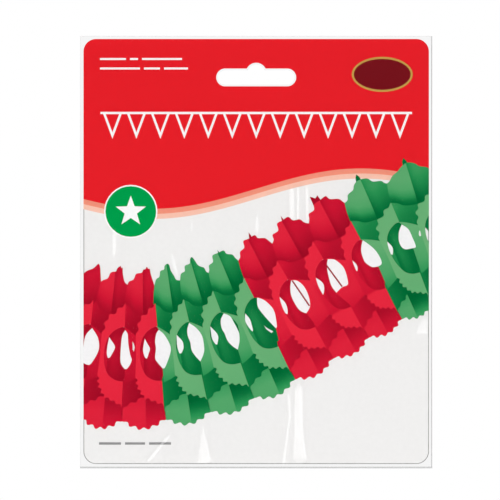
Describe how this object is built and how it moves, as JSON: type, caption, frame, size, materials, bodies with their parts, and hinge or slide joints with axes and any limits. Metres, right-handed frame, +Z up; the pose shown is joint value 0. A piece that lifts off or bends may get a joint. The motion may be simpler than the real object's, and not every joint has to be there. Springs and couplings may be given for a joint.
{
  "type": "hanging retail pack of folded paper garland",
  "caption": "Clear hanging film pack with a slotted card, printed with a wavy red header and a pictured red and green paper garland, and the folded tissue garland behind the card.",
  "frame": {"origin": "top of the hang slot at mid thickness of the card, where a display peg bears", "axes": "+Z up, +X to the viewer's right, the printed front faces -Y"},
  "size_m": [0.1682, 0.011, 0.2064],
  "materials": {
    "clear_film": "clear glossy film",
    "white_card": "coated white card",
    "tissue": "dyed tissue",
    "red_ink": "printed ink",
    "salmon_ink": "printed ink",
    "blush_ink": "printed ink",
    "white_ink": "printed ink",
    "gold_ink": "printed ink",
    "maroon_ink": "printed ink",
    "green_ink": "printed ink",
    "red_picture": "printed ink",
    "green_picture": "printed ink"
  },
  "bodies": {
    "root": {"film_bag": "clear_film", "printed_card": "white_card", "folded_garland": "tissue", "header_print": "red_ink", "upper_stripe_print": "salmon_ink", "lower_stripe_print": "blush_ink", "badge_rim_print": "white_ink", "badge_disc_print": "green_ink", "badge_star_print": "white_ink", "bunting_print": "white_ink", "emblem_rim_print": "gold_ink", "emblem_field_print": "maroon_ink", "garland_print_1": "red_picture", "garland_print_2": "green_picture", "garland_print_3": "red_picture", "garland_print_4": "green_picture"}
  },
  "joints": []
}
